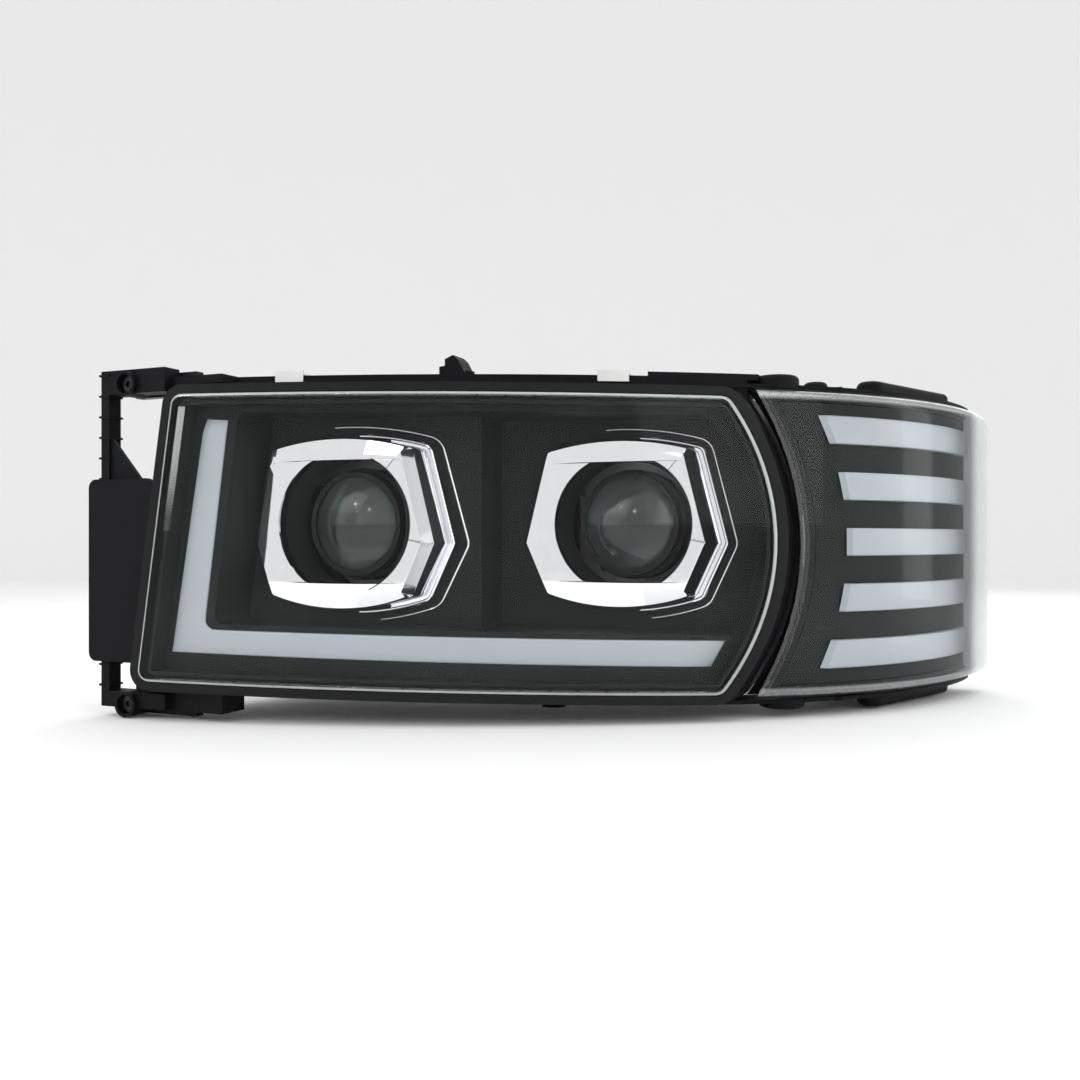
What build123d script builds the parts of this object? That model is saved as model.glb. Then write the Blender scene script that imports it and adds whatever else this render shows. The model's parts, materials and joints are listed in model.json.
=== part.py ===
from build123d import *
import os
from math import atan2, degrees, sqrt

os.makedirs("parts", exist_ok=True)

# Left-hand headlamp unit: a main lamp with two projectors, and a corner lamp that wraps round
# the vehicle's side. Millimetres. The beam goes along -Y, +X runs outboard and +Z is up. The
# origin is the middle of the two inner mounting bolts, on the face that meets the vehicle.

# Front of the main lamp: one long arc in plan, pushed back by so many millimetres for each layer
sweep_x, sweep_y, sweep_r = -176, 1050, 1100

# Outline of the main lens, seen from the front
lens_top_left, lens_top_right = (47, 112.5), (431, 110.5)
lens_tip, lens_corner_r = (463.4, 0), 9
lens_bottom_right, lens_bottom_left = (427, -113), (18, -103.5)
skin = 3
skirt_depth = 15
seal_depth = 2
lip_width, lip_front, lip_rear = 7, 2, 20

# Depths behind the main lens's front surface
ledge_front, ledge_rear = 20, 22.5
guide_front, guide_rear = 18, 26
floor_depth, floor_skin = 62, 2.5
step_depth = 106
rear_depth, rear_skin = 195, 3
rear_inset = 14
seam_x = 246
outer_floor = ((seam_x, 133.4), (452, 192))

# Projectors: axis X and the Y of the face of the shroud
projectors = {"inner": (155.9, 37.6), "outer": (346.6, 137.0)}
axis_z = 15.5
glass_r, glass_sphere_r, glass_recess, glass_length = 38, 58.6, 6, 27
retainer_r, retainer_nose_r, retainer_lip_r, retainer_lip = 44, 40.6, 36.5, 1.5
retainer_front, retainer_step, retainer_rear = 17, 27, 46
opening_r, opening_flat = 55, 46.5
flange_start, flange_end, carrier_end = 62, 66, 70
carrier_ring_r, carrier_hole_r = 60, 47
unit_end = 111.5

# Hexagonal shroud about its projector axis: half heights, corners and side points
hex_left, hex_right, hex_point_z = -80, 70, -15
hex_corner_left, hex_corner_right = -62, 52
hex_corner_top, hex_corner_bottom, hex_crown = 58, -56, 66
shroud_skin, ring_flare, trim_gap, trim_width = 2.5, 6.5, 9, 2

# Corner lamp: a cylinder about an upright axis
corner_x, corner_y, corner_r = 276, 432, 334
corner_low, corner_high, corner_end = -116, 117, 400
corner_round = 11
chip_side = 3.5
arc_x, corner_left_r = 240.4, 238
bezel_r, bar_r, bar_left_r = 313, 317, 266
bar_height, bar_pitch, bar_middle, bar_end = 22, 44, 1.5, 382
bar_count = 5

# Mounting frame
ring_gap, ring_width, ring_front, ring_rear = 3.2, 7.2, 24, 50
rail_top = 127
bar_x, bar_y, bar_wide, bar_deep = -27, -21, 8, 12
boss_z, boss_r = 123, 9.8
inner_bolt_z, bolt_hole_r = 35, 4.2
outer_bolt_x, outer_bolt_y, outer_bolt_z = 489, 356, 60

# Aiming gear
pivot = (251, 165, 62)
level_ball = (251, 155, -62)
yaw_ball = (88, 150, 62)
ball_r, rod_r, ball_gap, running = 5, 2.5, 0.35, 0.06


def front_y(x):
    return sweep_y - sqrt(sweep_r**2 - (x - sweep_x) ** 2)


def swept(front, rear, x_low=-60, x_high=500):
    """Space between the lens's front surface pushed back by front and by rear."""
    x_mid = (x_low + x_high) / 2
    near, far = [ThreePointArc(*[(x, front_y(x) + push) for x in (x_low, x_mid, x_high)])
                 for push in (front, rear)]
    plan = make_face([near, Line(near @ 1, far @ 1), far, Line(far @ 0, near @ 0)])
    return Pos(0, 0, -200) * extrude(plan, 400)


def through(sketch, y_low=-90, y_high=480):
    """A front-view sketch, drawn in X and Z, made solid from y_low to y_high."""
    return extrude(Plane.XZ.offset(-y_high) * sketch, y_high - y_low)


def block(x, y, z):
    """A box from its low and high X, Y and Z."""
    size = [high - low for low, high in (x, y, z)]
    return Pos(*[(low + high) / 2 for low, high in (x, y, z)]) * Box(*size)


def tube(x, z, outer, inner, y_low, y_high):
    ring = Circle(outer) - Circle(inner) if inner else Circle(outer)
    return through(Pos(x, z) * ring, y_low, y_high)


def upright(x, y, r, z_low, z_high):
    return Pos(x, y, (z_low + z_high) / 2) * Cylinder(r, z_high - z_low)


def polygon(*points):
    return make_face(Polyline(*points, close=True))


def lens_outline(grow=0):
    face = make_face([Line(lens_top_left, lens_top_right),
                      ThreePointArc(lens_top_right, lens_tip, lens_bottom_right),
                      Line(lens_bottom_right, lens_bottom_left),
                      Line(lens_bottom_left, lens_top_left)])
    face = fillet(face.vertices(), lens_corner_r)
    return offset(face, grow) if grow else face


def lens_shape(grow=0):
    return through(lens_outline(grow))


def lens_ring(outer, inner):
    return lens_shape(outer) - lens_shape(inner)


# Main lamp shell

def main_lens():
    face = lens_shape() & swept(0, skin)
    return face + (lens_ring(0, -skin) & swept(1, skirt_depth))


def main_lens_seal():
    return lens_ring(-0.2, -4) & swept(skirt_depth, skirt_depth + seal_depth)


def collar_end(x):
    return front_y(x + 60) + rear_depth + 6


def ear_heights(side, gap=0):
    """Low and high Z of the housing's ear behind a boss of the frame."""
    low, high = (boss_z - 9, boss_z + 9) if side > 0 else (-boss_z - 9, -98)
    return low - gap, high + gap


def main_housing():
    body = lens_ring(lip_width, 0.6) & swept(lip_front, lip_rear)
    body += lens_ring(lip_width, -5) & swept(skirt_depth + seal_depth, lip_rear)
    body += lens_ring(2, -1) & swept(lip_rear - 1, step_depth)
    body += lens_ring(2, -rear_inset - 3) & swept(step_depth - 3, step_depth)
    body += lens_ring(-rear_inset, -rear_inset - 3) & swept(step_depth - 3, rear_depth + rear_skin)
    body += lens_shape(-rear_inset) & swept(rear_depth, rear_depth + rear_skin)
    inside = swept(0, rear_depth)
    for x, face in projectors.values():
        collar = tube(x, axis_z, 60, 0, face + 100, collar_end(x))
        body += collar - inside
        body -= tube(x, axis_z, 56.5, 0, face + 115, 480)
    for side in (-1, 1):
        ear = block((-8, 52), (-4.4, 3.5), ear_heights(side)) - lens_shape(1.9)
        ear -= tube(0, side * boss_z, 2.4, 0, -20, 20)
        body += ear
    for x, y, z in (level_ball, yaw_ball):
        body -= tube(x, z, 4.5, 0, y + 15, 480)
    return body


def in_front_of_floor(push=0):
    """Space in front of the bezel's floor, moved back by push."""
    (x0, y0), (x1, y1) = outer_floor
    inner = swept(-60, floor_depth + push, x_high=seam_x)
    slope = (y1 - y0) / (x1 - x0)
    left, right = x0 - 1 - push, x1 + 20
    outer = polygon((left, 0), (right, 0), (right, y1 + 20 * slope + push),
                    (x1, y1 + push), (left, y0 + push))
    return inner + Pos(0, 0, -200) * extrude(outer, 400)


def pocket(grow=0):
    face = make_face([Line((67, -61), (86.5, 99.5)), Line((86.5, 99.5), (413, 98)),
                      ThreePointArc((413, 98), (445.5, 0), (431, -69)),
                      Line((431, -69), (67, -61))])
    face = fillet(face.vertices(), 7)
    return through(offset(face, grow) if grow else face)


def light_guide_outline(grow=0):
    face = polygon((60, 95.1), (78.3, 93.8), (59.5, -65), (425, -73.5), (415, -93.4), (33.6, -82.7))
    inner_corner = face.vertices().sort_by_distance((59.5, -65))[0]
    face = fillet(inner_corner, 7)
    return through(offset(face, grow) if grow else face)


def shroud_hex(x, grow=0):
    """Outline of a shroud in front view: slanted sides that meet in a point, and crowned ends."""
    def at(dx, dz):
        return (x + dx, axis_z + dz)
    middle = (hex_left + hex_right) / 2
    top = ThreePointArc(at(hex_corner_left, hex_corner_top), at(middle, hex_crown),
                        at(hex_corner_right, hex_corner_top))
    bottom = ThreePointArc(at(hex_corner_right, hex_corner_bottom), at(middle, -hex_crown),
                           at(hex_corner_left, hex_corner_bottom))
    sides = [Line(top @ 1, at(hex_right, hex_point_z)), Line(at(hex_right, hex_point_z), bottom @ 0),
             Line(bottom @ 1, at(hex_left, hex_point_z)), Line(at(hex_left, hex_point_z), top @ 0)]
    face = fillet(make_face([top, bottom] + sides).vertices(), 2.8)
    return through(offset(face, grow) if grow else face)


def inner_bezel():
    body = lens_ring(-5.6, -8) & swept(5, ledge_rear)
    ledge = (lens_shape(-5.6) - pocket()) & swept(ledge_front, ledge_rear)
    body += ledge - light_guide_outline(0.3)
    deep = in_front_of_floor(floor_skin)
    body += (pocket(2.4) - pocket()) & (deep & swept(ledge_front, 400))
    floor = (deep - in_front_of_floor()) & pocket(1)
    for x, face in projectors.values():
        floor -= tube(x, axis_z, 57, 0, face - 10, face + 60)
    return body + floor


def bezel_trims():
    """A thin bright hoop on the floor round each shroud."""
    strip = (in_front_of_floor() - in_front_of_floor(-trim_width)) & pocket(-1.5)
    trims = []
    for x, face in projectors.values():
        hoop = shroud_hex(x, trim_gap + trim_width) - shroud_hex(x, trim_gap)
        trims.append(hoop & strip)
    return trims


def shroud(x, face):
    ahead = in_front_of_floor()
    walls = shroud_hex(x) - shroud_hex(x, -shroud_skin)
    body = walls & block((x - 99, x + 99), (face, face + 60), (-99, 99))
    plate = shroud_hex(x) & block((x - 99, x + 99), (face, face + shroud_skin), (-99, 99))
    hole = Circle(opening_r) & Pos(0, 1.5) * Rectangle(120, 2 * opening_flat)
    body += plate - through(Pos(x, axis_z) * hole)
    rim = polygon((x - 95, face + 4), (x + 90, face + 42), (x + 90, face + 45.5), (x - 95, face + 7.5))
    rim = Pos(0, 0, -99) * extrude(rim, 198)
    body += (shroud_hex(x, ring_flare) - shroud_hex(x, -shroud_skin)) & rim
    return body & ahead & pocket(-0.3)


def lens_masks():
    masks = []
    for x, face in projectors.values():
        profile = Polyline((54.8, shroud_skin), (50.5, 24), (49, 24), (53.3, shroud_skin), close=True)
        mask = revolve(Plane.XY * make_face(profile), Axis.Y)
        masks.append(Pos(x, face, axis_z) * mask)
    return masks


def drl_light_guide():
    return light_guide_outline() & swept(guide_front, guide_rear)


def drl_led_board():
    return light_guide_outline(-2) & swept(guide_rear + 1, guide_rear + 2.6)


def drl_leds():
    """Chips behind the middle of the light guide's upright leg and of its lower leg."""
    top, corner, end = (68.3, 88), (49, -75), (400, -83.8)
    places = [Vector(*top) + (Vector(*corner) - Vector(*top)) * (step / 11) for step in range(11)]
    places += [Vector(*corner) + (Vector(*end) - Vector(*corner)) * (step / 20) for step in range(1, 21)]
    layer = swept(guide_rear + 0.1, guide_rear + 1)
    return [through(Pos(place.X, place.Y) * Rectangle(chip_side, chip_side)) & layer for place in places]


def lens_clips():
    """Two spring clips that hook over the top rail and hold the lens down."""
    clips = []
    for x in (124, 350):
        strap = block((x - 10.5, x + 10.5), (-60, 300), (rail_top + 0.2, rail_top + 1.6)) & swept(22, 44)
        tab = block((x - 10.5, x + 10.5), (-60, 300), (rail_top - 5, rail_top + 4)) & swept(22, 23.4)
        clips.append(strap + tab)
    return clips


# Corner lamp

def corner_block(r, low, high, left_r, end, rounding=0):
    """A piece of a cylinder about the corner lamp's axis, with a hollow arc on its left side."""
    plan = Pos(corner_x, corner_y) * Circle(r) & Pos(510, 250) * Rectangle(260, 2 * (end - 250))
    solid = Pos(0, 0, low) * extrude(plan, high - low)
    if rounding:
        rims = [edge for edge in solid.edges().filter_by(GeomType.CIRCLE)]
        solid = fillet(rims, rounding)
    return solid - through(Pos(arc_x, 0) * Circle(left_r))


def corner_core(r):
    return Pos(corner_x, corner_y, 0) * Cylinder(r, 400)


def corner_tray(outer_r, inner_r, inset_out, inset_in):
    """A wall that follows the corner lens's edge, between two radii and two insets."""
    def edge(inset):
        return corner_block(outer_r, corner_low + inset, corner_high - inset,
                            corner_left_r + inset, corner_end - inset)
    return edge(inset_out) - edge(inset_in) - corner_core(inner_r)


def corner_lens():
    outside = corner_block(corner_r, corner_low, corner_high, corner_left_r, corner_end, corner_round)
    inside = corner_block(corner_r - skin, corner_low + skin, corner_high - skin,
                          corner_left_r + skin, corner_end - skin, corner_round - skin)
    return outside - inside - corner_core(316)


def behind_line(push=0):
    """Space behind the corner housing's rear walls."""
    plan = polygon((430, 296 + push), (478, 300 + push), (534, 348 + push), (592, 396 + push),
                   (700, 396 + push), (700, 700), (430, 700))
    return Pos(0, 0, -200) * extrude(plan, 400)


def corner_housing():
    body = corner_tray(322, 311, -1.5, -0.4)
    flange = corner_block(311, corner_low, corner_high, 222, corner_end) - corner_core(307)
    flange -= lens_shape(ring_gap + ring_width)
    body += flange & through(Pos(arc_x, 0) * Circle(corner_left_r + 6))
    body += corner_tray(314, 311, -1.5, 6.5)
    tub = corner_block(312, corner_low + 4, corner_high - 4, corner_left_r + 4, corner_end - 4)
    hollow = corner_block(330, corner_low + 6.5, corner_high - 6.5, corner_left_r + 6.5, corner_end - 6.5)
    return body + (tub - behind_line() - (hollow - behind_line(-2.5)))


def bar_z(index):
    return bar_middle + bar_pitch * (index - (bar_count - 1) / 2)


def light_bar_zone(index, grow=0):
    z = bar_z(index)
    half = bar_height / 2 + grow
    return corner_block(400, z - half, z + half, bar_left_r - grow, bar_end + grow)


def corner_bezel():
    outside = corner_block(bezel_r, corner_low + 7, corner_high - 7, corner_left_r + 7, corner_end - 7)
    inside = corner_block(bezel_r - 2.5, corner_low + 9.5, corner_high - 9.5,
                          corner_left_r + 9.5, corner_end - 9.5)
    body = outside - inside - corner_core(298) - behind_line(-3)
    for index in range(bar_count):
        body -= light_bar_zone(index, 0.3) - corner_core(300)
    return body


def corner_light_bars():
    sleeve = corner_block(bar_r, -110, 110, 250, 395) - corner_core(308)
    return [sleeve & light_bar_zone(index) for index in range(bar_count)]


def corner_led_board():
    sleeve = corner_block(305.6, -100, 101, bar_left_r + 2, 378)
    return sleeve - corner_core(304)


def corner_leds():
    chip = Pos(306.4, 0, 0) * Box(1.4, chip_side, chip_side)
    chips = []
    for index in range(bar_count):
        for turn in range(-40, -14, 5):
            chips.append(Pos(corner_x, corner_y, bar_z(index)) * Rot(0, 0, turn) * chip)
    return chips


def corner_side_reflector():
    plate = corner_block(330.4, corner_low + 4, corner_high - 4, 250, corner_end - 3.6, corner_round - 4)
    return (plate - corner_core(314.5)) & block((500, 700), (corner_end - 6, corner_end), (-200, 200))


def corner_socket():
    x, z = 545, 0
    body = tube(x, z, 15, 0, 350, 384) + tube(x, z, 19, 0, 350, 368)
    body &= behind_line(0)
    return body - tube(x, z, 10, 0, 374, 390)


# Mounting frame

def ribbed_bar():
    x, y = (bar_x, bar_x + bar_wide), (bar_y, bar_y + bar_deep)
    bar = block(x, y, (-126, 134))
    for step in range(16):
        z = 130.5 - 16 * step
        bar += block((x[0] - 1.2, x[1] + 1.2), (y[0] - 1.2, y[1] + 1), (z - 0.8, z + 0.8))
    bar += block(x, (bar_y, 0), (-91, 50))
    gusset = polygon((bar_x + bar_wide - 1, 84), (bar_x + bar_wide - 1, 46), (14, 46))
    bar += through(gusset, bar_y + 2, bar_y + 5)
    return bar


def frame_plate():
    plate = through(Pos(-5, -20.5) * RectangleRounded(64, 141, 7), bar_y - 3, bar_y + 0.5)
    tab = block((bar_x + 1, 34), (-4, 0), (-62, 47))
    for side in (-1, 1):
        tab -= tube(0, side * inner_bolt_z, bolt_hole_r, 0, -10, 10)
    return plate + tab


def corner_bracket(side):
    """Plate above or below the corner lamp, with rounded lobes on it."""
    low, high = sorted((side * 119.4, side * 122.5))
    shelf = corner_block(318, low, high, 150, 396) - corner_core(290)
    lobes = [(456, 187, 18, 130.5), (483, 210, 9.5, 127.5)] if side > 0 else [(460, 190, 18, 127.5)]
    for x, y, r, top in lobes:
        lobe = upright(x, y, r, 119.4, top)
        lobe = fillet(lobe.faces().sort_by(Axis.Z)[-1].edges(), 4)
        shelf += lobe if side > 0 else mirror(lobe, Plane.XY)
    angle = degrees(atan2(102, 46))
    ridge = Pos(543, 301, 0) * Rot(0, 0, angle) * extrude(SlotOverall(130, 22), 131.5)
    ridge = fillet(ridge.faces().sort_by(Axis.Z)[-1].edges(), 5) & block((400, 700), (0, 500), (119.4, 140))
    return shelf + (ridge if side > 0 else mirror(ridge, Plane.XY))


def mounting_frame():
    lip_room = lens_shape(lip_width + 1) & swept(-30, lip_rear + 1.5)
    keep_out = lip_room + (lens_shape(ring_gap) & swept(-30, 300))
    body = lens_ring(ring_width + 1.3, ring_gap) & swept(ring_front, ring_rear)
    body += block((40, 439), (-60, 300), (114, rail_top)) & swept(ring_front, ring_rear)
    body += block((372, 446), (-60, 300), (rail_top - 1, 130.5)) & swept(ring_front + 2, ring_rear - 4)
    body += ribbed_bar() + frame_plate()
    for side in (-1, 1):
        low, high = (115.5, 134) if side > 0 else (-126, -114)
        body += block((bar_x, 36), (bar_y, -5), (low, high))
        body += tube(0, side * boss_z, boss_r, 0, bar_y - 4, -5)
        bridge = (120.8, rail_top) if side > 0 else (-127, -110)
        body += block((35, 84), (-14, 12), bridge)
        body += corner_bracket(side)
        low, high = sorted((side * 119.4, side * 122.5))
        body += block((474, 504), (205, 360), (low, high))
        body += block((425, 470), (-60, 300), (low, high)) & swept(ring_front, ring_rear)
    body += block((474, 504), (352, 356), (-120, 120))
    body += block((474, 478), (330, 354), (-120, 120))
    body -= keep_out
    for side in (-1, 1):
        body -= block((-8.5, 52.5), (-4.9, 4.2), ear_heights(side, 0.5))
        body -= tube(0, side * boss_z, 7.4, 0, bar_y - 10, bar_y + 4)
        body -= tube(0, side * boss_z, 3.0, 0, bar_y - 10, 0)
        body -= tube(outer_bolt_x, side * outer_bolt_z, bolt_hole_r, 0, 340, 370)
    return body


def locating_horn():
    """Fin on the top rail that finds its slot in the bodywork."""
    fin = polygon((233, 127), (233.4, 139), (239, 142.2), (242.6, 138.4), (248, 127))
    tabs = polygon((228.5, 127), (228.5, 133.5), (233.5, 134.5), (233.5, 127))
    tabs += polygon((247, 127), (247, 130.8), (252, 130.2), (252, 127))
    return (through(fin) & swept(28, 46)) + (through(tabs) & swept(30, 34))


def frame_screws():
    screws = []
    for side in (-1, 1):
        z = side * boss_z
        head = tube(0, z, 6.4, 0, bar_y + 0.5, bar_y + 4)
        socket = RegularPolygon(3, 6)
        head -= through(Pos(0, z) * socket, bar_y, bar_y + 2.6)
        screws.append(head + tube(0, z, 2.3, 0, bar_y + 4, 6))
    return screws


# Aiming gear, electrics and rear covers

def rear_region(depth=0):
    return swept(rear_depth + rear_skin + depth, 700)


def pivot_fork():
    """Stem on the rear wall with two ears and the level pin that the pivot block turns on."""
    x, y, z = pivot
    body = block((x - 12, x + 12), (y + 12, y + 70), (z - 6, z + 6)) & swept(0, rear_depth)
    for side in (-1, 1):
        body += block(sorted((x + side * 8.2, x + side * 12)), (y - 6, y + 14), (z - 5, z + 5))
    return body + Pos(x, y, z) * Rot(0, 90, 0) * Cylinder(rod_r, 20)


def pivot_block():
    x, y, z = pivot
    body = Pos(x, y, z) * Box(15, 12, 14)
    body += Pos(x, y, z) * Cylinder(rod_r, 26)
    return body - Pos(x, y, z) * Rot(0, 90, 0) * Cylinder(rod_r + running, 30)


def pivot_bracket():
    x, y, z = pivot
    body = block((x - 12, x + 10), (y - 16, y - 12), (z - 14, z + 14))
    for side in (-1, 1):
        low, high = sorted((z + side * 8, z + side * 11.5))
        body += block((x - 7, x + 7), (y - 13, y + 7), (low, high))
    return body - upright(x, y, rod_r + running, z - 20, z + 20)


def ball_fork(ball, half=9):
    """Two plates, one before and one behind the ball, open at the side for its rod."""
    x, y, z = ball
    gap = ball_r + ball_gap
    body = block((x - half, x + half), (y - gap - 3, y - gap), (z - half, z + half))
    body += block((x - half, x + half), (y + gap, y + gap + 3), (z - half, z + half))
    side = -1 if z < 0 else 1
    low, high = sorted((z + side * (half - 2), z + side * (half + 1)))
    body += block((x - half, x + half), (y - gap - 3, y + gap + 3), (low, high))
    return body - block((x - 5, x + 5), (y, y + 20), sorted((z + side * (half - 2.5), z - side * 20)))


def carrier_plate():
    body = pivot_bracket() + ball_fork(level_ball) + ball_fork(yaw_ball)
    (x1, y1), (x2, y2) = [(x, face + flange_end) for x, face in projectors.values()]
    for x, y in ((x1, y1), (x2, y2)):
        body += tube(x, axis_z, carrier_ring_r, carrier_hole_r, y, y + 4)
    near = [(x1 + 55, y1), (x1 + 60, y1), (233, 140), (263, 152), (x2 - 55, y2)]
    far = [(x2 - 55, y2 + 4), (x2 - 60, y2 + 4), (260, 156), (229, 144), (x1 + 55, y1 + 4)]
    web = Pos(0, 0, -71) * extrude(polygon(*near, *far), 143)
    web -= block((200, 300), (90, 230), (-34, 40))
    x, y, z = pivot
    web -= block((x - 16, x + 24), (y - 12, y + 25), (z - 13, z + 13))
    x, y, z = level_ball
    web -= block((x - 10, x + 10), (y - 5.3, y + 40), (z - 9, z + 7))
    body += web
    for x, y, side in ((x1, y1, 1), (x2, y2, -1)):
        body += block(sorted((x + side * 38, x + side * 60)), (y, y + 4), (-71, 72))
    x, y, z = yaw_ball
    body += block((x - 9, x - 5), (y1, y - 5), (z - 9, z + 9)) + block((x - 9, 125), (y1, y1 + 4), (50, 70))
    for x, y in ((x1, y1), (x2, y2)):
        body -= tube(x, axis_z, carrier_hole_r, 0, y - 1, y + 5)
        for dx, dz in lug_places():
            body -= tube(x + dx, axis_z + dz, 2.2, 0, y - 1, y + 5)
    return body


def lug_places():
    return [(dx, dz) for dx in (-35.5, 35.5) for dz in (-35.5, 35.5)]


def carrier_screws():
    screws = []
    for x, face in projectors.values():
        for dx, dz in lug_places():
            head = tube(x + dx, axis_z + dz, 3.6, 0, face + flange_start - 2.4, face + flange_start)
            shank = tube(x + dx, axis_z + dz, 2, 0, face + flange_start, face + carrier_end + 3)
            screws.append(head + shank)
    return screws


def projector_lens(x, face):
    apex = face + glass_recess
    ball = Pos(x, apex + glass_sphere_r, axis_z) * Sphere(glass_sphere_r)
    return ball & tube(x, axis_z, glass_r, 0, apex - 1, apex + glass_length)


def lens_retainer(x, face):
    seat = face + retainer_front + retainer_lip
    bore = glass_r + 0.15
    body = tube(x, axis_z, retainer_r, bore, face + retainer_step, face + retainer_rear)
    body += tube(x, axis_z, retainer_nose_r, bore, seat, face + retainer_step)
    return body + tube(x, axis_z, retainer_nose_r, retainer_lip_r, face + retainer_front, seat)


def projector_barrel(x, face):
    body = tube(x, axis_z, glass_r, 35, face + glass_recess + glass_length, face + flange_start)
    body += tube(x, axis_z, 43, 35, face + retainer_rear, face + flange_start)
    body += tube(x, axis_z, 54, 36, face + flange_start, face + flange_end)
    for dx, dz in lug_places():
        body -= tube(x + dx, axis_z + dz, 2.2, 0, face + 50, face + 70)
        body -= tube(x + dx, axis_z + dz, 4.2, 0, face + 50, face + flange_start)
    return body


def reflector(x, face):
    middle = Pos(x, face + 64, axis_z)
    bowl = middle * Sphere(38) - middle * Sphere(35.5)
    return bowl & block((x - 50, x + 50), (face + flange_end, face + 110), (axis_z + 0.2, 99))


def led_board(x, face):
    board = block((x - 33, x + 33), (face + 68, face + 99), (axis_z - 1.8, axis_z))
    chip = block((x - 6, x + 6), (face + 76, face + 82), (axis_z, axis_z + 1.2))
    return board + chip


def heat_sink(x, face):
    z = axis_z - 1.8
    body = block((x - 33, x + 33), (face + 71, face + 100), (z - 5, z))
    for fin in range(12):
        left = x - 33 + fin * 5.8
        body += block((left, left + 2.2), (face + 71, face + 100), (z - 27, z - 4))
    return body


def fan_frame(x, face):
    z = axis_z - 6
    body = block((x - 30, x + 30), (face + 101.5, face + unit_end), (z - 30, z + 30))
    body -= tube(x, z, 27, 0, face + 99, face + unit_end - 1.5)
    body -= tube(x, z, 26, 14, face + 99, face + unit_end + 1)
    for angle in (45, 135):
        strut = block((-30, 30), (face + unit_end - 1.5, face + unit_end), (-1.5, 1.5))
        strut = Pos(x, 0, z) * Rot(0, angle, 0) * strut
        body += strut & tube(x, z, 27.5, 0, face, face + 120)
    return body + tube(x, z, 2, 0, face + 104, face + unit_end)


def fan_rotor(x, face):
    z = axis_z - 6
    body = tube(x, z, 12, 2.06, face + 102.5, face + 109)
    for blade in range(7):
        vane = Rot(0, blade * 360 / 7, 0) * Pos(18, face + 105.8, 0) * Rot(32, 0, 0) * Box(13, 1.2, 6.6)
        body += Pos(x, 0, z) * vane
    return body


def cut_off_shutter(x, face):
    y = face + 58
    blade = through(Pos(x, axis_z) * (Circle(32) & Pos(0, -11.75) * Rectangle(70, 23.5)), y - 0.6, y + 0.6)
    pin = Pos(x, y, axis_z - 23.5) * Rot(0, 90, 0) * Cylinder(1.5, 45)
    return blade + pin


def sliding_rod(ball, length, knob_r):
    """Ball-ended rod through the rear wall, with its adjusting knob outside."""
    x, y, z = ball
    end = y + length
    body = Pos(x, y, z) * Sphere(ball_r) + tube(x, z, rod_r, 0, y + 3, end)
    knob = tube(x, z, knob_r, 0, end, end + 10)
    notch = block((knob_r - 1.2, knob_r + 2), (end, end + 11), (-1.4, 1.4))
    for turn in range(0, 360, 45):
        knob -= Pos(x, 0, z) * Rot(0, turn, 0) * notch
    return body + knob - through(Pos(x, z) * RegularPolygon(2.6, 6), end + 5, end + 11)


def leveller_motor():
    x, y, z = level_ball
    body = block((x - 28, x + 28), (180, 272), (z - 24, z + 22)) & rear_region()
    body = fillet(body.edges().filter_by(Axis.Y), 6)
    body += tube(x, z, 11, 0, 270, 276)
    return body - tube(x, z, rod_r + 0.5, 0, 150, 290)


def yaw_adjuster_case():
    x, y, z = yaw_ball
    body = block((x - 13, x + 13), (150, 196), (z - 12, z + 12)) & rear_region()
    body = fillet(body.edges().filter_by(Axis.Y), 4)
    return body - tube(x, z, rod_r + 0.5, 0, 140, 220)


def connector_socket():
    x, z = 251, 4
    body = block((x - 22, x + 22), (190, 268), (z - 14, z + 14)) & rear_region()
    body = fillet(body.edges().filter_by(Axis.Y), 4)
    body -= block((x - 18.5, x + 18.5), (248, 280), (z - 10.5, z + 10.5))
    return body + block((x - 6, x + 6), (254, 262), (z + 13, z + 17))


def connector_pins():
    pins = []
    for column in range(4):
        for row in (-1, 1):
            x, z = 251 - 12 + 8 * column, 4 + 4.5 * row
            pins.append(block((x - 0.8, x + 0.8), (248, 260), (z - 0.8, z + 0.8)))
    return pins


def breather_vents():
    vents = []
    for x, z in ((70, -30), (251, 80), (418, -58)):
        y = front_y(x) + rear_depth
        vents.append((tube(x, z, 7, 0, y - 10, y + 14) + tube(x, z, 9, 0, y + 9, y + 14)) & rear_region())
    return vents


def driver_module():
    body = block((62, 150), (150, 222), (-90, -52)) & rear_region()
    for fin in range(9):
        left = 66 + fin * 9.4
        body -= block((left, left + 5), (212, 230), (-95, -50))
    feet = block((54, 158), (150, 212), (-78, -64)) & swept(0, rear_depth + rear_skin + 4)
    return body + (feet & rear_region())


def module_screws():
    screws = []
    for x in (57.8, 154.2):
        y = front_y(x) + rear_depth + rear_skin + 4
        screws.append(tube(x, -71, 3.6, 0, y - 6, y + 2.5) & rear_region(4 + 0.01))
    return screws


def rear_cap(x):
    end = collar_end(x)
    body = tube(x, axis_z, 61.5, 0, end + 0.3, end + 4)
    body += tube(x, axis_z, 55.6, 52.8, end - 9, end + 1)
    for angle in (0, 90):
        grip = block((x - 40, x + 40), (end + 3.5, end + 13), (axis_z - 3, axis_z + 3))
        body += Pos(x, 0, axis_z) * Rot(0, angle, 0) * Pos(-x, 0, -axis_z) * grip
    return body + tube(x, axis_z, 14, 0, end + 3, end + 12)


def rear_cap_seal(x):
    end = collar_end(x)
    return tube(x, axis_z, 56.3, 55.6, end - 6, end - 3)


def save(name, shape):
    solids = shape if isinstance(shape, list) else [shape]
    bodies = [solid for item in solids for solid in item.solids()]
    export_step(Compound(children=bodies) if len(bodies) > 1 else bodies[0], f"parts/{name}.step")


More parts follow.
